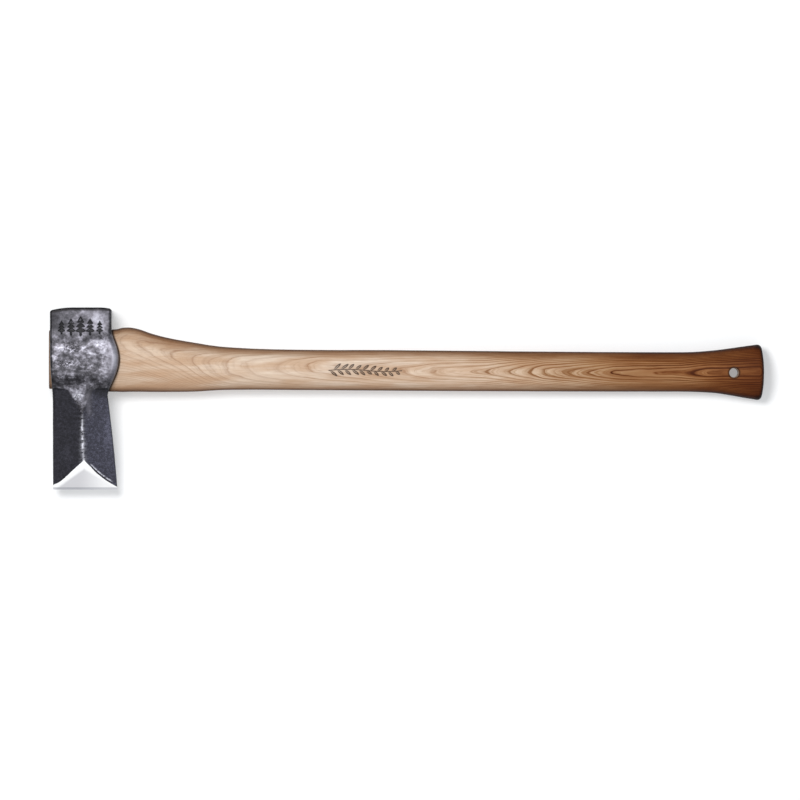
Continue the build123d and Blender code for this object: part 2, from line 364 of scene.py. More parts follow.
def build_head():
    """The head: its skin with dents and stamp, the two ground bevels on each side, and the eye."""
    # Rows lie closest where the facets run out and where the stamp is.
    rows = rows_of((EDGE_Y, -42, 0.8), (-42, -22, 0.4), (-22, 27, 0.7), (27, POLL_Y - RIM_ROUND, 0.4))
    loops = [head_loop(y, HEAD_COLUMNS) for y in rows]
    poll = head_loop(POLL_Y, HEAD_COLUMNS)
    middle = np.array([(FRONT_X + POLL_BACK_X) / 2, 0, 0])
    reach = np.array([(POLL_BACK_X - FRONT_X) / 2, 1, POLL_HALF])
    for angle in np.linspace(0, math.pi / 2, 9):
        inset = RIM_ROUND * (1 - math.cos(angle))
        loop = (poll - middle) * (1 - inset / reach) + middle
        loop[:, 1] = POLL_Y - RIM_ROUND * (1 - math.sin(angle))
        loops.append(loop)
    rim = loops[-1]
    for share in np.linspace(1, 0, 36)[1:-1]:
        loop = (rim - middle) * [share, 1, share] + middle * [1, 0, 1]
        loop[:, 1] = POLL_Y
        loops.append(loop)
    loops = np.array(loops)
    x, y = loops[..., 0], loops[..., 1]
    loops[..., 1] = y - ease(x) * np.clip((y - WAIST_Y) / (POLL_Y - WAIST_Y), 0, 1)
    head = skin("forged_head", loops)

    def forging(p):
        """Dents of the hammer, rough scale, pits and the stamp."""
        x, y, z = p.T
        cheek_share = step(np.abs(z), 15, 20)
        dents = 0.16 * noise(p, 14, 1) + 0.08 * noise(p, 6, 2) + 0.035 * noise(p, 2.2, 3)
        rough = 0.03 * noise(p, 1.1, 4) * step(-y, 25, 35) * step(np.abs(x - ridge_x(y)), 0.5, 2.5)
        amount = dents * (1 - 0.6 * step(-y, 30, 60)) + rough
        amount -= STAMP_DEPTH * stamp(x, y) * (z > 0)
        amount -= SCALE_DEPTH * marks(x, y) * step(noise(p, (2.6, 2.1, 2.6), 11), 0.1, 0.5) * cheek_share
        return np.where(y > POLL_Y - 2.5, 0.25 * amount, amount) - HEAD_INSET

    displace(head.data, forging)
    bm = bmesh.new()
    bm.from_mesh(head.data)
    for side in (1, -1):
        grind(bm, (0, BEVEL_Y, side * BEVEL_HALF), (0, MICRO_Y, side * MICRO_HALF), side, 1)
        grind(bm, (0, MICRO_Y, side * MICRO_HALF), (0, EDGE_Y, side * EDGE_HALF), side, 2)
    bm.to_mesh(head.data)
    bm.free()
    eye = [eye_loop(x, EYE_COUNTS) for x in np.linspace(-EYE_REACH, EYE_REACH, 9)]
    carve(head, skin("eye_cutter", eye))
    return head


def grind(bm, above, below, side, material):
    """Grinds one bevel through two points of its profile, and closes the cut with a flat face."""
    run, fall = above[1] - below[1], abs(above[2]) - abs(below[2])
    normal = Vector((0, -fall, side * run)).normalized()
    everything = bm.verts[:] + bm.edges[:] + bm.faces[:]
    cut = bmesh.ops.bisect_plane(
        bm, geom=everything, dist=1e-7, plane_co=Vector(above) * MM, plane_no=normal, clear_outer=True
    )
    edges = [item for item in cut["geom_cut"] if isinstance(item, bmesh.types.BMEdge)]
    for edge in edges:
        edge.smooth = False
    for face in bmesh.ops.holes_fill(bm, edges=edges)["faces"]:
        face.material_index = material
        face.smooth = False


def firs(x, y, trees):
    """Depth, from 0 to 1, of a punched row of little fir trees: (x, y of the foot, height)."""
    depth = np.zeros_like(x)
    for tree_x, tree_y, height in trees:
        u, v = np.abs(x - tree_x), (y - tree_y) / height
        for low, high, width in ((0.16, 0.46, 0.37), (0.39, 0.69, 0.30), (0.62, 1.0, 0.22)):
            reach = width * height * (high - v) / (high - low)
            inside = np.minimum(reach - u, (v - low) * height - 0.25 * u)
            depth = np.maximum(depth, step(inside, -0.2, 0.4))
        trunk = np.minimum(0.05 * height - u, np.minimum(v, 0.2 - v) * height)
        depth = np.maximum(depth, step(trunk, -0.2, 0.3))
    return depth


def stamp(x, y):
    """The punched mark: five fir trees in a row, the tallest in the middle."""
    return firs(x, y, [(-4 + 10.2 * k, 26.0 + 0.9 * abs(k), 21.0 - 3.4 * abs(k)) for k in (-2, -1, 0, 1, 2)])


def blend_spots(x, y, spots):
    """Sum of soft spots: (x, y, half width, half height, strength)."""
    return sum(
        gain * np.exp(-(((x - at_x) / wide) ** 2) - ((y - at_y) / high) ** 2)
        for at_x, at_y, wide, high, gain in spots
    )


def polish_and_shade(x, y):
    """How bright the steel is, around 0.5: worn polish, mixed with painted light and shade, such as darker
    patches along the front, on the poll's front and by the shoulder.
    """
    return 0.5 + blend_spots(x, y, (
        (-24, 12, 8, 9, 0.15), (1, 9, 6, 7, 0.10), (20, 14, 10, 9, 0.34), (33, 2, 4, 16, 0.34),
        (22, -8, 9, 10, 0.14), (16, 43, 9, 9, 0.36), (-5, -37, 5, 8, 0.60), (5, -46, 3.5, 13, 0.06),
        (26, -80, 5, 20, 0.12), (-18, -101, 7, 10, 0.10), (4, -14, 13, 8, -0.14), (8, 23, 14, 4, -0.10),
        (-20, -24, 12, 5, -0.34), (20, -32, 14, 8, -0.30), (-28, 38, 9, 16, -0.20), (-36, 2, 4, 34, -0.10),
    ))


def marks(x, y):
    """Where curls of old scale are left in the steel, from 0 to 1."""
    return np.clip(blend_spots(x, y, (
        (-14, 13, 9, 6, 1.3), (-20, -4, 10, 4, 1.2), (-18, -20, 9, 4, 1.3), (4, -8, 14, 10, 0.45),
        (-9, -43, 4, 9, 0.9), (-4, -58, 3, 9, 1.2), (20, 27, 10, 4, 0.5), (4, -22, 14, 6, 0.6),
    )), 0, 1)


# === Handle =========================================================================================
COUNTS = ((22, 110, 22, 44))


def handle_loop(x, inset=0.0):
    """One loop of the handle at x, which may be one number or one for each column."""
    if np.ndim(x) == 0:
        centre, height, width = smooth(x, SECTIONS)
        y, z = oval(centre, height - inset, width - inset, COUNTS)
        return np.stack([np.full(len(y), float(x)), y, z], -1)
    loop = np.empty((len(x), 3))
    for i, one in enumerate(x):
        loop[i] = handle_loop(float(one), inset)[i]
    return loop


def build_handle():
    """The handle: tenon, carved shoulder, oval grip and butt, with its hole, kerf and ring groove."""
    # Behind the head, each column starts at the head's outline, which a few rounds settle on.
    start = np.full(sum(COUNTS), 33.0)
    for _ in range(6):
        start = back_x(handle_loop(start)[:, 1])
    loops = []
    tip = eye_loop(TENON_END_X, COUNTS, 0.8)
    centre = tip.mean(axis=0)
    for share in (0.15, 0.3, 0.45, 0.6, 0.75, 0.9):
        loops.append(centre + (tip - centre) * share)
    loops += [tip, eye_loop(TENON_END_X + 0.6, COUNTS, 0.1)]
    loops += [eye_loop(x, COUNTS) for x in np.linspace(TENON_END_X + 1.2, 22, 8)]
    inner = eye_loop(24.0, COUNTS)
    inner[:, 0] = back_x(inner[:, 1]) + 0.05
    loops.append(inner)
    for inset, ahead in ((1.0, 0.05), (0.5, 0.2), (0.15, 0.5), (0.0, 1.0)):
        loops.append(handle_loop(start + ahead, inset))
    for share in np.linspace(0, 1, 14)[1:]:
        loops.append(handle_loop((start + 1.0) * (1 - share) + SQUARE_FROM_X * share))
    under_sprig = 0.32
    rows = rows_of(
        (SQUARE_FROM_X + 1, 252, 1.6), (252, 350, under_sprig), (350, 690, 2.0), (690, 706, 0.8),
        (706, BUTT_X - BUTT_ROUND, 1.5),
    )
    loops += [handle_loop(x) for x in rows]
    for angle in np.linspace(0, math.pi / 2, 10):
        x = BUTT_X - BUTT_ROUND * (1 - math.sin(angle))
        loops.append(handle_loop(x, BUTT_ROUND * (1 - math.cos(angle))))
    rim = loops[-1]
    centre = np.array([BUTT_X, HOLE_Y, 0])
    for share in np.linspace(1, 0, 16)[1:-1]:
        loops.append(centre + (rim - centre) * share)
    loops = np.array(loops)
    x, y = loops[..., 0], loops[..., 1]
    crowned = np.clip((x - CROWN_FROM_X) / (BUTT_X - CROWN_FROM_X), 0, 1)
    loops[..., 0] = x - (y - HOLE_Y) ** 2 / (2 * BUTT_CROWN) * crowned
    handle = skin("oval_handle", loops)

    def shaping(p):
        """Faint flats from the spokeshave, raised grain, and the burnt-in sprig."""
        x, y, z = p.T
        amount = 0.10 * noise(p, (45, 9, 9), 21) + 0.03 * noise(p, (12, 2.0, 2.0), 22) - HANDLE_INSET
        return (amount - SPRIG_DEPTH * sprig(x, y) * (z > 0)) * step(x, 38, 44)

    displace(handle.data, shaping)
    carve(handle, hole_cutter())
    carve(handle, slot_cutter())
    groove = ring_cutter(RING_RADIUS + RING_GAP, -RING_EDGE)
    carve(groove, ring_cutter(RING_RADIUS - RING_WALL - RING_GAP, RING_WALL - 2 * RING_EDGE))
    carve(handle, groove)
    return handle


def hole_cutter():
    """The hang hole, which widens in a quarter round at both faces of the handle."""
    profile = []
    for t in np.linspace(0, 1, 9):
        angle = t * math.pi / 2
        below, beyond = HOLE_EASE * (1 - math.sin(angle)), HOLE_EASE * (1 - math.cos(angle))
        profile.append((HOLE_HALF - below, HOLE_R + beyond))
    profile.append((HOLE_HALF + 3, HOLE_R + HOLE_EASE))
    profile = [(-z, r) for z, r in profile[::-1]] + profile
    turn = np.linspace(0, 2 * math.pi, 48, endpoint=False)
    loops = [
        np.stack([HOLE_X + r * np.cos(turn), HOLE_Y + r * np.sin(turn), np.full(len(turn), z)], -1)
        for z, r in profile
    ]
    return skin("hole_cutter", loops)


def slot_cutter():
    """The kerf for the wooden wedge, from outside the tenon to its bottom."""
    loops = []
    for x, half in KERF:
        corners = ((-KERF_REACH, -half), (KERF_REACH, -half), (KERF_REACH, half), (-KERF_REACH, half))
        loops.append([(x, y, z) for y, z in corners])
    return skin("slot_cutter", loops)


def ring_cutter(radius, growth):
    """Cone about the eye's axis, from outside the tenon to the depth that the ring is driven."""
    turn = np.linspace(0, 2 * math.pi, 96, endpoint=False)
    loops = []
    for x in (TENON_END_X - RING_DEPTH / 2, TENON_END_X + RING_DEPTH):
        r = radius + growth * (x - TENON_END_X) / RING_DEPTH
        loops.append(np.stack([np.full(len(turn), x), EYE_Y + r * np.cos(turn), r * np.sin(turn)], -1))
    return skin("ring_cutter", loops)


def sprig(x, y):
    """Burnt-in sprig, from 0 to 1: a bent stem, with leaves on alternate sides that get smaller."""
    depth = np.zeros_like(x)
    near = (x > 255) & (x < 348) & (np.abs(y + 11) < 14)
    px, py = x[near], y[near]

    def stroke(start, end, half_width, leaf):
        """A length of stem, or a pointed leaf with its vein left pale."""
        dx, dy = end[0] - start[0], end[1] - start[1]
        t = np.clip(((px - start[0]) * dx + (py - start[1]) * dy) / (dx * dx + dy * dy), 0, 1)
        away = np.hypot(px - start[0] - t * dx, py - start[1] - t * dy)
        if not leaf:
            return step(half_width - away, -0.2, 0.2)
        blade = half_width * (3.4 * t * (1 - t) ** 0.8) - away
        return step(blade, -0.2, 0.2) * (1 - 0.7 * step(0.32 - away, -0.1, 0.1) * step(0.75 - t, 0, 0.1))

    def stem(at):
        """A point on the stem."""
        return at, -11.2 + 1.2 * math.sin((at - 261) / 13)

    got = np.zeros_like(px)
    for k in range(LEAVES + 1):
        at = SPRIG_X + LEAF_APART * k
        got = np.maximum(got, stroke(stem(at), stem(at + LEAF_APART), 0.48, False))
        length = 10.4 - 0.20 * k + 0.8 * math.sin(2.4 * k)
        side = 1 if k % 2 else -1
        turn = side * (0.66 + 0.06 * math.sin(1.7 * k))
        foot = stem(at + 1.0)
        tip = (foot[0] + length * math.cos(turn), foot[1] + length * math.sin(turn))
        if k < LEAVES:
            got = np.maximum(got, stroke(foot, tip, 1.5, True))
    depth[near] = got
    return depth


# === Materials ======================================================================================
class Value:
    """A number in a node tree, which takes part in ordinary arithmetic."""

    def __init__(self, nodes, socket):
        self.nodes, self.socket = nodes, socket


def allow(symbol, operation):
    """Lets Values take part in one of Python's operations."""

    def forward(self, other):
        return self.nodes.math(operation, self, other)

    def backward(self, other):
        return self.nodes.math(operation, other, self)

    setattr(Value, f"__{symbol}__", forward)
    setattr(Value, f"__r{symbol}__", backward)


OPERATIONS = {"add": "ADD", "sub": "SUBTRACT", "mul": "MULTIPLY", "truediv": "DIVIDE", "pow": "POWER"}
for symbol, operation in OPERATIONS.items():
    allow(symbol, operation)


class Nodes:
    """A node tree under construction."""

    def __init__(self, tree):
        self.tree = tree
        self.coordinates = tree.nodes.new("ShaderNodeTexCoord").outputs

    def put(self, socket, value):
        """Links a Value to a socket, or sets a plain number or colour on it."""
        if isinstance(value, Value):
            self.tree.links.new(value.socket, socket)
        elif value is not None:
            socket.default_value = value

    def split(self, vector):
        """The three Values of a vector."""
        node = self.tree.nodes.new("ShaderNodeSeparateXYZ")
        self.tree.links.new(vector, node.inputs[0])
        return [Value(self, output) for output in node.outputs]

    def math(self, operation, *values):
        """The result of one operation of the Math node."""
        node = self.tree.nodes.new("ShaderNodeMath")
        node.operation = operation
        for socket, value in zip(node.inputs, values):
            self.put(socket, value)
        return Value(self, node.outputs[0])

    def size(self, value):
        """The value without its sign."""
        return self.math("ABSOLUTE", value)

    def between(self, value, low, high):
        """0 where value is below low, 1 above high, and smooth between them."""
        node = self.tree.nodes.new("ShaderNodeMapRange")
        node.interpolation_type = "SMOOTHSTEP"
        for socket, item in zip(node.inputs, (value, low, high)):
            self.put(socket, item)
        return Value(self, node.outputs[0])

    def vector(self, x, y, z):
        """One vector of three values."""
        node = self.tree.nodes.new("ShaderNodeCombineXYZ")
        for socket, value in zip(node.inputs, (x, y, z)):
            self.put(socket, value)
        return Value(self, node.outputs[0])

    def noise_at(self, vector, detail=2.0, roughness=0.5):
        """Noise around 0.5 at a place."""
        node = self.tree.nodes.new("ShaderNodeTexNoise")
        settings = {"Vector": vector, "Scale": 1.0, "Detail": detail, "Roughness": roughness}
        for name, value in settings.items():
            self.put(node.inputs[name], value)
        return Value(self, node.outputs["Fac"])

    def ramp(self, factor, *stops):
        """Colours or greys at positions from 0 to 1."""
        node = self.tree.nodes.new("ShaderNodeValToRGB")
        elements = node.color_ramp.elements
        while len(elements) < len(stops):
            elements.new(0.5)
        for element, (position, colour) in zip(elements, stops):
            element.position = position
            element.color = (*colour, 1) if np.ndim(colour) else (colour, colour, colour, 1)
        self.put(node.inputs[0], factor)
        return Value(self, node.outputs[0])

    def mix(self, factor, a, b, blend="MIX"):
        """From colour a, where factor is 0, to b or to a blended with b, where it is 1."""
        node = self.tree.nodes.new("ShaderNodeMix")
        node.data_type, node.blend_type = "RGBA", blend
        self.put(node.inputs[0], factor)
        for socket, value in zip(node.inputs[6:8], (a, b)):
            self.put(socket, (*value, 1) if isinstance(value, tuple) else value)
        return Value(self, node.outputs[2])

    def tinted(self, factor, colour, tint):
        """The colour, multiplied by the tint where factor is 1."""
        return self.mix(factor, colour, self.mix(1.0, colour, tint, "MULTIPLY"))


class Finish(Nodes):
    """A material under construction, with x, y and z in millimetres in the level frame."""

    def __init__(self, name):
        self.material = bpy.data.materials.new(name)
        self.material.use_nodes = True
        super().__init__(self.material.node_tree)
        self.shader = self.tree.nodes["Principled BSDF"]
        level = self.tree.nodes.new("ShaderNodeMapping")
        level.vector_type = "TEXTURE"
        level.inputs["Location"].default_value = LEVEL.translation
        level.inputs["Rotation"].default_value = LEVEL.to_euler()
        level.inputs["Scale"].default_value = (MM, MM, MM)
        self.tree.links.new(self.coordinates["Object"], level.inputs["Vector"])
        self.x, self.y, self.z = self.split(level.outputs[0])

    def noise(self, sizes, detail=2.0, roughness=0.5, shift=0.0):
        """Noise around 0.5, with lumps of the given sizes in millimetres along x, y and z."""
        at = self.vector(self.x / sizes[0] + shift, self.y / sizes[1], self.z / sizes[2])
        return self.noise_at(at, detail, roughness)

    def attribute(self, name):
        """One of the masks that are kept in the mesh."""
        node = self.tree.nodes.new("ShaderNodeAttribute")
        node.attribute_name = name
        return Value(self, node.outputs["Fac"])

    def bump(self, height, distance):
        """Relief in millimetres for the whole range of height."""
        node = self.tree.nodes.new("ShaderNodeBump")
        self.put(node.inputs["Height"], height)
        node.inputs["Distance"].default_value = distance * MM
        self.tree.links.new(node.outputs[0], self.shader.inputs["Normal"])

    def done(self, **inputs):
        """Sets the shader's own sockets, and gives the material."""
        for name, value in inputs.items():
            socket = self.shader.inputs[name.replace("_", " ")]
            self.put(socket, (*value, 1) if isinstance(value, tuple) and len(value) == 3 else value)
        return self.material


def rgb(r, g, b):
    """A colour from 0 to 255, as the shaders' linear values."""
    return tuple(((c / 255 + 0.055) / 1.055) ** 2.4 if c > 10 else c / 3294.6 for c in (r, g, b))


WOOD_START, WOOD_LENGTH, STAIN_LENGTH = -40, 780, 900
RINGS_PER_MM = 0.71
# Where each yearly ring crosses the middle of the cheek: (mm from the eye, ring).
RING_TIPS = (
    (-40, -3.4), (40, -0.4), (80, 1), (114, 2), (139, 3), (157, 4), (184, 5), (219, 6), (262, 7), (302, 8),
    (342, 9), (378, 10), (431, 11), (455, 12), (478, 13), (492, 14), (523, 15), (546, 16), (568, 17),
    (594, 17.4), (640, 17.55), (654, 17.9), (668, 18.15), (700, 18.30), (735, 18.42),
)


def wood(name, with_stain_and_shade=True):
    """Hickory: rings that arch along the cheeks, long fibres, and a stain towards the butt."""
    n = Finish(name)
    x, y, z = n.x, n.y, n.z
    place = (x - WOOD_START) / WOOD_LENGTH

    def along(low, high, *stops):
        """A value that changes along the handle: (mm from the eye, value)."""
        shares = [((at - WOOD_START) / WOOD_LENGTH, (value - low) / (high - low)) for at, value in stops]
        return n.ramp(place, *shares) * (high - low) + low

    # The field of yearly rings: whole numbers are the borders between one ring and the next.
    shoulder = [(at, float(np.interp(at, *zip(*RING_TIPS)))) for at in (47, 53, 60, 70, 92, 104)]
    tips = [
        (at, ring - RINGS_PER_MM * (smooth(at, SECTIONS)[2] - 14.5))
        for at, ring in sorted([*RING_TIPS, *shoulder])
    ]
    phase = along(-8, 22, *tips)
    bend = along(
        -0.02, 0.02, (-40, 0.0), (70, 0.0), (125, -0.004), (160, -0.007), (250, -0.006), (345, 0.0),
        (430, 0.009), (620, 0.012), (740, 0.013),
    )
    bend_y = along(
        -40, 20, (-40, -7.6), (110, -7.6), (160, -12), (250, -15), (345, -12), (640, -15), (740, -11),
    )
    warp = (n.noise((80, 22, 22)) - 0.5) * along(0, 2, (-40, 0.3), (90, 0.5), (180, 1.2), (740, 1.3))
    warp = warp + (n.noise((26, 4, 4), shift=7.0) - 0.5) * 0.28
    off = y - bend_y
    sloping = (y + 7) * (1 - n.between(x, 60, 160)) * 0.24 + n.between(x, 30, 140) * 5 - 5
    arch = off * off * bend * 1.6 / (1 + n.size(off) * 0.055)
    rings = phase + z * RINGS_PER_MM - arch + sloping + warp + 40

    # Lines: dark late wood at each border, thin lines between, and streaks along the rings.
    phase = n.math("FRACT", rings)
    late = n.ramp(
        phase, (0.0, 1.0), (0.05, 0.90), (0.10, 0.25), (0.22, 0.0), (0.55, 0.05), (0.80, 0.30), (0.95, 0.62),
        (1.0, 1.0),
    )
    thin = n.math("FRACT", rings * 3 + n.noise((60, 6, 6), shift=2.0) * 1.5)
    thin = n.ramp(thin, (0.0, 1.0), (0.10, 0.5), (0.22, 0.0), (0.75, 0.0), (1.0, 1.0))
    streaks = n.noise_at(n.vector(x / 110, rings * 4.3, 0.0), 4.0, 0.75)
    each = n.noise_at(n.vector(x / 160, rings * 0.8, 4.0), 1.0, 0.5)
    fibres = n.noise((26, 0.55, 0.55), 4.0, 0.66)
    pores = n.between(n.noise((7, 0.3, 0.3), 2.0, 0.6, shift=11.0), 0.56, 0.72)
    faint = n.between(n.noise((45, 9, 9), shift=13.0), 0.40, 0.66)
    figure = along(0, 1.5, (-40, 0.78), (250, 0.70), (400, 0.72), (480, 0.9), (560, 1.05), (740, 1.12))
    lines = late * (0.30 + each) * figure + thin * faint * 0.34 + n.between(streaks, 0.46, 0.70) * 0.48

    tone = n.noise((70, 12, 12), 3.0, 0.55, shift=5.0)
    colour = n.mix(n.between(tone, 0.32, 0.66), rgb(236, 219, 200), rgb(213, 184, 157))
    colour = n.mix(lines * 0.70, colour, rgb(150, 108, 76))
    colour = n.mix((fibres - 0.40) * 1.2, colour, rgb(176, 138, 106))
    colour = n.mix(pores * (0.08 + lines * 0.35), colour, rgb(104, 70, 46))
    if with_stain_and_shade:
        colour = stain_sprig_and_shade(n, colour, lines)
    n.bump(fibres * 0.4 + lines * 0.25 - pores * 0.6, 0.09)
    return n.done(Base_Color=colour, Roughness=0.50 + (fibres - 0.5) * 0.25, Specular_IOR_Level=0.08)


def stain_sprig_and_shade(n, colour, lines):
    """The handle's stain, bare wood in the hole and the burnt sprig, with painted shade on its sides, edges,
    butt and tenon end, around the hole's rim and in the seam behind the head.
    """
    x, y = n.x, n.y

    # The stain runs from pale behind the head to almost black at the butt, and soaks into late wood.
    blotches = (n.noise((50, 9, 9), shift=9.0) - 0.5) * 0.05
    soaked = (x - WOOD_START) / STAIN_LENGTH + blotches + (lines - 0.42) * 0.17
    lean = 0.0022 + n.between(x, 560, 606) * 0.0014 - n.between(x, 600, 700) * 0.0043
    soaked = soaked + (y - HOLE_Y) * lean
    stain = n.ramp(
        soaked, (0.0, (0.76, 0.69, 0.63)), (0.10, (0.82, 0.765, 0.72)), (0.20, (0.88, 0.86, 0.845)),
        (0.32, (0.955, 0.965, 0.98)), (0.45, (0.87, 0.825, 0.79)), (0.54, (0.715, 0.605, 0.50)),
        (0.62, (0.50, 0.345, 0.212)), (0.68, (0.472, 0.294, 0.162)), (0.74, (0.318, 0.146, 0.055)),
        (0.80, (0.160, 0.053, 0.0148)), (0.88, (0.118, 0.036, 0.0088)), (0.98, (0.055, 0.016, 0.004)),
    )
    stained_and_shaded = n.mix(1.0, colour, stain, "MULTIPLY")

    # Painted shade: surfaces that turn to the side are darker, and so are the upper and lower edges and the
    # edges of the butt. The tenon's end in front of the head is darker too.
    normal = n.split(n.coordinates["Normal"])
    end_face = n.between(n.size(normal[0]), 0.93, 0.99)
    side_on = (1 - n.size(normal[2])) * (1 - end_face * 0.85)
    stained_and_shaded = n.tinted(n.between(side_on, 0.02, 0.70), stained_and_shaded, (0.42, 0.31, 0.23))
    stained_and_shaded = n.tinted(n.between(side_on, 0.30, 0.80), stained_and_shaded, (0.52, 0.47, 0.43))
    above = n.between(normal[1], 0.24 + n.between(x, 90, 200) * 0.21, 0.70)
    above = above * (1 - n.between(x, 380, 560) * 0.5)
    below = n.between(0 - normal[1], 0.45, 0.70) * (0.2 + n.between(x, 180, 330) * 0.5)
    stained_and_shaded = n.tinted(above + below, stained_and_shaded, (0.59, 0.48, 0.385))
    butt = n.between(x, BUTT_X - 12, BUTT_X - 7) * n.between(side_on, 0.04, 0.35)
    stained_and_shaded = n.tinted(butt, stained_and_shaded, (0.34, 0.27, 0.22))
    tenon = 1 - n.between(x, -36.0, -33.0)
    stained_and_shaded = n.tinted(tenon, stained_and_shaded, (0.48, 0.46, 0.45))
    # Painted shadow in the seam where the wood meets the head.
    stained_and_shaded = n.mix(n.attribute("seam_shadow") * 0.85, stained_and_shaded, rgb(40, 27, 20))

    # Bare wood inside the hang hole, with painted shade as a dark rim around it.
    hole = n.math("SQRT", (x - HOLE_X) ** 2 + (y - HOLE_Y) ** 2)
    rim = n.between(hole, HOLE_R, HOLE_R + 0.8) * (1 - n.between(hole, HOLE_R + 1.0, HOLE_R + 2.6))
    stained_and_shaded = n.mix(rim * 0.7, stained_and_shaded, rgb(46, 24, 12))
    colour = n.mix(n.between(hole, HOLE_R - 0.2, HOLE_R + 0.5), colour, stained_and_shaded)

    colour = n.mix(n.attribute("halo") * 0.35, colour, rgb(140, 100, 70))
    return n.mix(n.attribute("burnt") * 0.88, colour, rgb(50, 38, 32))


def forged_steel(name):
    """Ground cheeks over old scale, hollow facets left black from the forge, with painted light and shade
    over them.
    """
    n = Finish(name)
    names = ("facet", "wear_and_burr_highlight", "punched", "marked", "edge", "polish_and_shade", "burr_shade", "calm")
    facets, wear_and_burr_highlight, punched, marked, edge, polish_and_shade, burr_shade, calm = (n.attribute(name) for name in names)
    cloud = n.noise((9, 8, 9), 3.0, 0.55)
    patch = n.noise((3.4, 2.8, 3.4), 3.0, 0.6, shift=3.0)
    grain = n.noise((0.9, 0.9, 0.9), 3.0, 0.7, shift=8.0)
    curl = 1 - n.between(n.size(n.noise((3.6, 3.0, 3.6), 1.0, 0.5, shift=5.0) - 0.5), 0.012, 0.045)
    blot = n.between(n.noise((2.6, 2.2, 2.6), 2.0, 0.6, shift=15.0), 0.52, 0.62)
    rough = 1 - calm
    mottle = 0.425 + ((cloud - 0.5) * 0.84 + (patch - 0.5) * 0.64) * rough
    mottle = mottle + (grain - 0.5) * 0.14 + (polish_and_shade - 0.5) * 0.55
    ground = n.ramp(
        mottle, (0.20, rgb(30, 29, 33)), (0.36, rgb(62, 61, 66)), (0.46, rgb(92, 90, 97)),
        (0.54, rgb(122, 120, 129)), (0.64, rgb(158, 157, 167)), (0.76, rgb(208, 208, 216)),
        (0.90, rgb(250, 250, 255)),
    )
    dull = 0.5 + (patch - 0.5) * 0.5 + (grain - 0.5) * 0.7 + (polish_and_shade - 0.5) * 0.8
    black = n.ramp(
        dull, (0.26, rgb(34, 34, 38)), (0.50, rgb(62, 62, 73)), (0.66, rgb(94, 94, 110)),
        (0.9, rgb(140, 140, 155)),
    )
    # Painted shade: the front facet is darker than the back one.
    black = n.mix(n.between(n.x, -6, 4), n.mix(1.0, black, (0.41, 0.40, 0.38), "MULTIPLY"), black)
    colour = n.mix(facets, ground, black)
    colour = n.mix(marked * n.math("MAXIMUM", curl, blot * 0.8), colour, rgb(26, 24, 28))
    # Painted shade on the head's rounded edges and walls.
    colour = n.tinted(edge, colour, (0.15, 0.14, 0.14))
    # Bright where the ridge is worn, and a painted highlight beside the burr.
    colour = n.mix(wear_and_burr_highlight * n.between(patch * 0.8 + grain * 0.2, 0.36, 0.56), colour, rgb(222, 222, 232))
    colour = n.mix(punched * (1.0 - n.between(patch, 0.54, 0.68) * 0.4), colour, rgb(12, 11, 14))
    # Painted shade: the dark line along the burr.
    colour = n.mix(burr_shade, colour, rgb(18, 17, 19))
    n.bump(patch * rough * 0.6 + cloud * rough * 0.5 + grain * 0.12 - marked * curl * 0.5, 0.16)
    return n.done(Base_Color=colour, Metallic=0.72, Roughness=0.45 + (patch - 0.5) * 0.25 + facets * 0.10)


def honed_steel(name, tone, shade):
    """Bright ground bevel, with fine lines from the belt across it, and painted shade that makes its inner
    part greyer.
    """
    n = Finish(name)
    lines = n.noise((0.3, 16, 16), 3.0, 0.6)
    # Painted shade: the inner part of the bevel is greyer.
    inner = n.between((BEVEL_Y - n.y) - n.size(n.x - RIDGE_X) * 0.66 + n.x * 0.05, 8.5, 13.0)
    inner = inner * (1 - n.between(n.x, -10.0, 26.0) * 0.75)
    colour = n.mix(inner, tone, shade)
    colour = n.mix((lines - 0.4) * 0.30, colour, rgb(200, 200, 205))
    n.bump(lines, 0.01)
    return n.done(Base_Color=colour, Metallic=0.55, Roughness=0.34)


def ring_steel(name):
    """Bare steel with a speckle of scale."""
    n = Finish(name)
    speck = n.noise((1.6, 1.6, 1.6), 3.0, 0.65)
    colour = n.ramp(speck, (0.3, rgb(84, 82, 84)), (0.55, rgb(140, 138, 140)), (0.72, rgb(186, 184, 186)))
    n.bump(speck, 0.05)
    return n.done(Base_Color=colour, Metallic=0.95, Roughness=0.34 + (speck - 0.5) * 0.3)


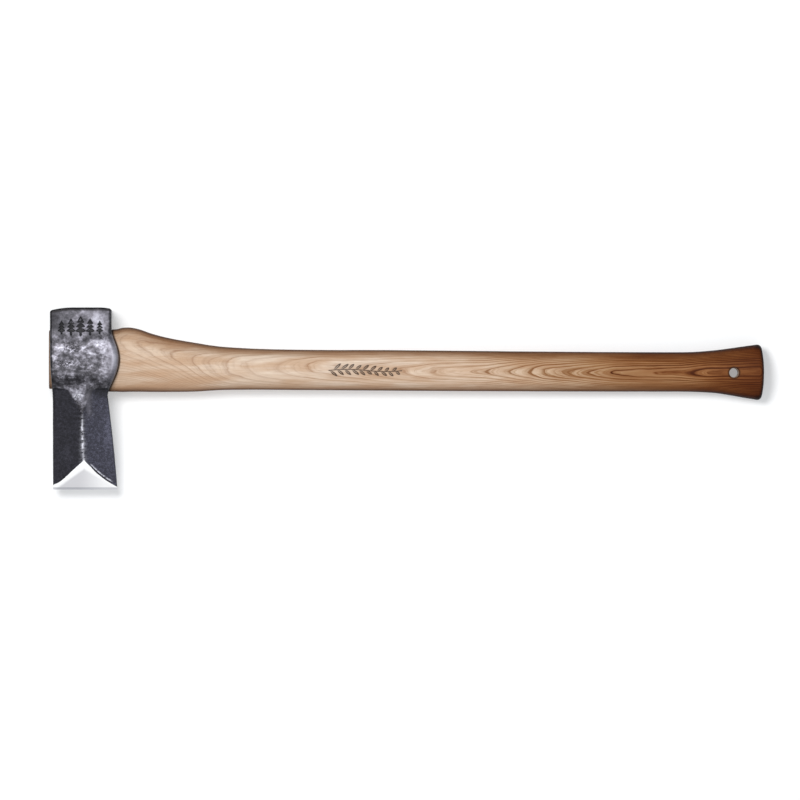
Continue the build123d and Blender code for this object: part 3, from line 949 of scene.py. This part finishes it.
# === Masks, one number per vertex, which the materials read ===========================================
def mask_head(mesh):
    """Where the head is black from the forge, worn, punched, marked or calm, and where shade and highlights
    are painted: darker edges and walls, the burr's lines, and the polish-and-shade map.
    """
    p = points_of(mesh)
    x, y, z = p.T
    cut_depth = thickness(y) - facet(x, y)

    # The bevel's border behind the ridge has a burr, drawn as a painted shade line with a painted highlight
    # beside it.
    above_bevel = BEVEL_HALF + BEVEL_FALL * (y - BEVEL_Y) - facet(x, y)
    burr = step(x, 5, 9) * (1 - step(x, 26, 31)) * (y < BEVEL_Y + 3)
    burr_shade_top = 0.16 - 0.010 * np.abs(x - 13)
    burr_shade_line = burr * step(above_bevel, -0.10, -0.02) * (1 - step(above_bevel, burr_shade_top, 0.24))
    burr_highlight = burr * step(above_bevel, 0.20, 0.28) * (1 - step(above_bevel, 0.40, 0.50))

    # The ridge is worn bright, in a line that wanders and gets broader towards the edge.
    off_ridge = x - ridge_x(y) + 0.7 - 0.7 * noise(p, (9, 4, 9), 12)
    fade = step(-y, 57, 68) * (1 - 0.25 * step(-y, 90, 106)) * (0.56 + 0.30 * noise(p, (9, 3, 9), 13))
    broad = 1 + 0.6 * step(-y, 74, 100)
    core, glow = np.exp(-((off_ridge / 0.7 / broad) ** 2)), np.exp(-((off_ridge / 2.0 / broad) ** 2))
    ridge_wear = (core + 0.45 * glow) * fade

    # Painted shade: the rounded edges and walls of the head are darker, but less so beside the eye.
    from_front, from_back = x - front_x(y), back_x(y) - x
    by_eye = step(y, -24, -14) * (1 - step(y, 26, 30))
    rim = step(y + ease(x), 51.8, 53.9)
    front_edge_shade = (1 - step(from_front, 0.6, 7.0)) * (y > SHOULDER_Y) * (0.66 - 0.42 * by_eye)
    poll_edge_shade = (1 - step(from_back, 0.5, 6.0)) * step(y, 25, 32) * 0.8
    wall_shade = (1 - step(np.minimum(from_front, from_back), 0.1, 0.8)) * (0.9 - 0.5 * by_eye * (x < 0))

    # Smoother places: the lug behind the eye, the poll, and the land from the shoulder to the ridge.
    lug = step(x, 19, 31) * (1 - step(np.abs(y), 20, 30))
    land = np.exp(-(((x - 4.5) / 4.0) ** 2)) * step(-y, 28, 36) * (1 - step(-y, 52, 66))
    for name, values in (
        ("facet", step(cut_depth, -0.05, 0.25) * (y < SHOULDER_Y + 1) * (1 - 0.8 * land)),
        ("wear_and_burr_highlight", np.clip(np.maximum(ridge_wear, burr_highlight), 0, 1)),
        ("burr_shade", burr_shade_line),
        ("polish_and_shade", polish_and_shade(x, y)),
        ("punched", stamp(x, y) * (z > 15)),
        ("marked", marks(x, y)),
        # Painted shade on the rounded edges, the poll's rim and the walls.
        ("edge", np.maximum.reduce([rim, front_edge_shade, poll_edge_shade, wall_shade])),
        ("calm", np.maximum.reduce([lug * 0.8, step(y, 20, 32) * 0.45, land * 0.85])),
    ):
        keep_attribute(mesh, name, values)


def mask_handle(mesh):
    """Where the handle is burnt, browned around the sprig, and painted dark as shadow in the seam behind the
    head.
    """
    x, y, z = points_of(mesh).T
    near_sprig = (np.abs(y + 11.3) < 9) * step(x, 256, 264) * (1 - step(x, 340, 348))
    keep_attribute(mesh, "burnt", sprig(x, y) * (z > 0))
    keep_attribute(mesh, "halo", near_sprig * (z > 0) * 0.3)
    keep_attribute(mesh, "seam_shadow", (1 - step(x - back_x(y), 0.4, 2.2)) * (x > 20))


# === Assembly =======================================================================================
head = build_head()
handle = build_handle()
mask_head(head.data)
mask_handle(handle.data)

for material in (
    forged_steel("forged_steel"),
    honed_steel("bevel_steel", rgb(255, 255, 255), rgb(209, 208, 211)),
    honed_steel("edge_steel", rgb(225, 225, 228), rgb(190, 190, 195)),
):
    head.data.materials.append(material)
handle.data.materials.append(wood("handle_wood"))

for piece, node in ((head, "head"), (handle, "handle")):
    piece.data.transform(LEVEL)
    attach(piece, "root")
    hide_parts(node)
wedges = {"wooden_wedge": wood("wedge_wood", with_stain_and_shade=False), "ring_wedge": ring_steel("ring_steel")}
for node, material in wedges.items():
    for slot in frame["nodes"][node].material_slots:
        slot.material = material

# === Floor, light and camera ========================================================================
FAR = 30
floor_mesh = bpy.data.meshes.new("floor")
floor_mesh.from_pydata([(-FAR, -FAR, 0), (FAR, -FAR, 0), (FAR, FAR, 0), (-FAR, FAR, 0)], [], [(0, 1, 2, 3)])
floor = bpy.data.objects.new("floor", floor_mesh)
bpy.context.collection.objects.link(floor)
table = Finish("light_table")
floor_mesh.materials.append(table.done(
    Base_Color=(0.70, 0.70, 0.70), Roughness=0.9, Specular_IOR_Level=0.0,
    Emission_Color=(0.98, 0.99, 1.0), Emission_Strength=0.32,
))

world = bpy.data.worlds.new("studio")
bpy.context.scene.world = world
world.use_nodes = True
# The sky is brighter overhead, with a soft panel in the south and one in the east, and a dark north.
sky = Nodes(world.node_tree)
east, north, up = sky.split(sky.coordinates["Generated"])
dome = 0.30 + sky.between(up, 0.0, 0.85) * 0.62 + east * 0.10
south_panel = sky.between(up * 0.80 - north * 0.60, 0.80, 0.97) * 0.75
east_panel = sky.between(east * 0.97 + up * 0.25, 0.55, 0.95) * 0.35
dark_north = 1 - sky.between(north - up * 0.35, 0.25, 0.9) * 0.75
light = (dome + south_panel + east_panel) * dark_north
background = world.node_tree.nodes["Background"]
sky.put(background.inputs["Color"], sky.mix(light * 0.5, (0.88, 0.94, 1.0), (1.0, 1.0, 1.0)))
sky.put(background.inputs["Strength"], light * 0.60)


def panel(name, location, size, power):
    """A round soft light that looks at the middle of the tool, in metres and watts."""
    lamp = bpy.data.lights.new(name, "AREA")
    lamp.shape, lamp.size, lamp.energy = "DISK", size, power
    light = bpy.data.objects.new(name, lamp)
    light.location = location
    light.rotation_mode = "QUATERNION"
    light.rotation_quaternion = (-Vector(location)).to_track_quat("-Z", "Y")
    bpy.context.collection.objects.link(light)


panel("key", location=(-0.75, 0.68, 2.6), size=1.0, power=54)

VIEW_CENTRE = Vector((337.9, -42.8, 0.0))
VIEW_WIDTH, VIEW_DISTANCE = 0.8575, 12.0
lens = bpy.data.cameras.new("camera")
lens.sensor_width = 36.0
lens.lens = lens.sensor_width * VIEW_DISTANCE / VIEW_WIDTH
camera = bpy.data.objects.new("camera", lens)
camera.location = LEVEL @ (VIEW_CENTRE * MM) + Vector((0, 0, VIEW_DISTANCE))
bpy.context.collection.objects.link(camera)
bpy.context.scene.camera = camera
bpy.context.scene.view_settings.view_transform = "Standard"
